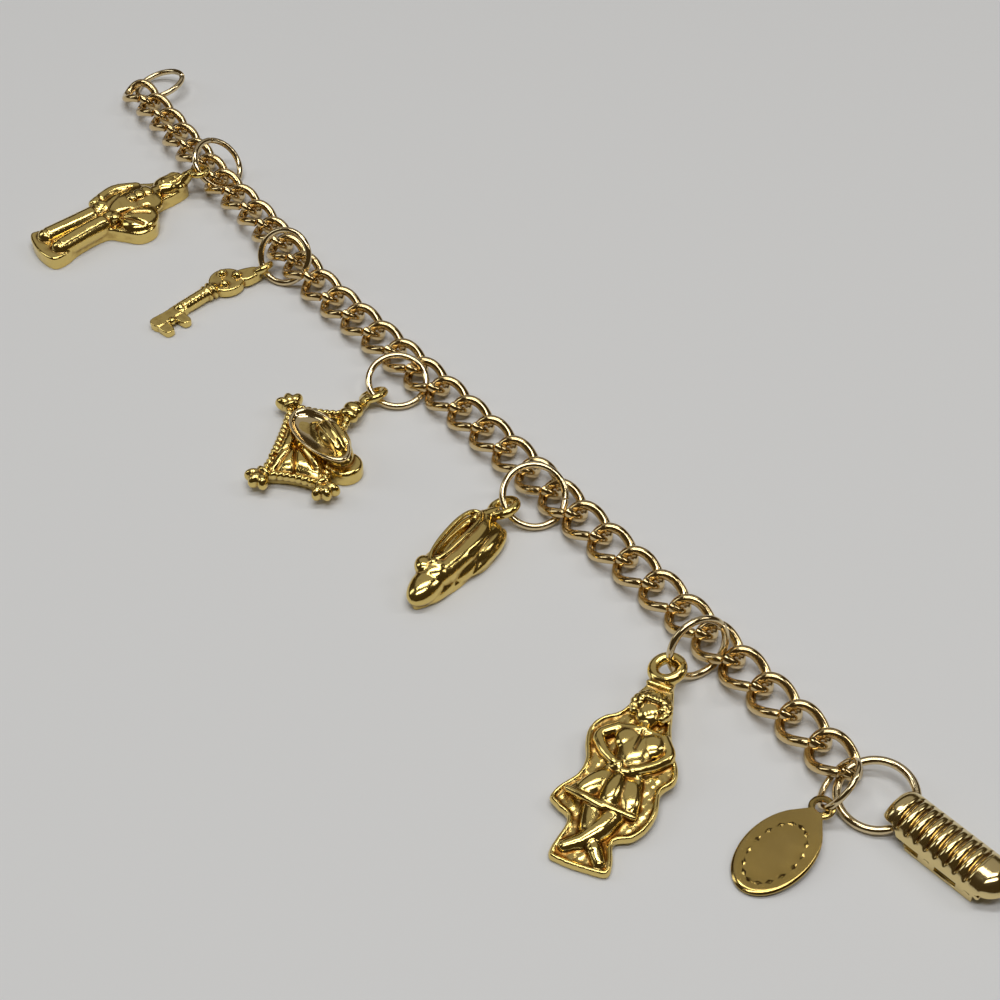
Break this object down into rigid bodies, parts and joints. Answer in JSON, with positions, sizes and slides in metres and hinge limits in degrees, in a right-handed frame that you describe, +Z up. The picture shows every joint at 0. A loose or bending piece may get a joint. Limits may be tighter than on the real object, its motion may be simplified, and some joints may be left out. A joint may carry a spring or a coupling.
{
  "type": "charm bracelet",
  "caption": "Gold-toned curb chain bracelet with hanging charms on jump rings, an oval tag, a free end ring and a ribbed fold-over clasp, laid open.",
  "frame": {"origin": "on the table under the middle of the whole bracelet", "axes": "+X along the chain from the free ring to the fold-over clasp, +Z up from the table, the charms lie on the -Y side"},
  "size_m": [0.1786, 0.0378, 0.0076],
  "materials": {
    "chain_gold": "gold plated, polished wire, slightly browned between the links",
    "ring_gold": "pale gold plated round wire, polished",
    "charm_gold": "rich yellow gold plated casting, polished high spots, brown in the recesses",
    "tag_gold": "gold plated stamped sheet with a bright bevelled edge",
    "clasp_gold": "gold plated, polished, with pressed cross ribs"
  },
  "bodies": {
    "bracelet": {"link_01": "chain_gold", "link_02": "chain_gold", "link_03": "chain_gold", "link_04": "chain_gold", "link_05": "chain_gold", "link_06": "chain_gold", "link_07": "chain_gold", "link_08": "chain_gold", "link_09": "chain_gold", "link_10": "chain_gold", "link_11": "chain_gold", "link_12": "chain_gold", "link_13": "chain_gold", "link_14": "chain_gold", "link_15": "chain_gold", "link_16": "chain_gold", "link_17": "chain_gold", "link_18": "chain_gold", "link_19": "chain_gold", "link_20": "chain_gold", "link_21": "chain_gold", "link_22": "chain_gold", "link_23": "chain_gold", "link_24": "chain_gold", "link_25": "chain_gold", "link_26": "chain_gold", "link_27": "chain_gold", "link_28": "chain_gold", "link_29": "chain_gold", "link_30": "chain_gold", "link_31": "chain_gold", "link_32": "chain_gold", "link_33": "chain_gold", "link_34": "chain_gold", "free_ring": "ring_gold", "figure_ring": "ring_gold", "key_ring": "ring_gold", "cushion_ring": "ring_gold", "shoe_ring": "ring_gold", "dancer_ring": "ring_gold", "tag_ring": "ring_gold", "clasp_ring": "ring_gold", "figure_charm": "charm_gold", "key_charm": "charm_gold", "cushion_charm": "charm_gold", "shoe_charm": "charm_gold", "dancer_charm": "charm_gold", "tag": "tag_gold", "clasp_base": "clasp_gold", "hinge_pin": "clasp_gold"},
    "cover": {"clasp_cover": "clasp_gold"}
  },
  "joints": [
    {"name": "clasp_cover_hinge", "type": "hinge", "parent": "bracelet", "child": "cover", "pos_m": [0.08712, 0.01386, 0.00138], "axis": [-0.1219, 0.9925, 0], "range_deg": [0, 120]}
  ]
}
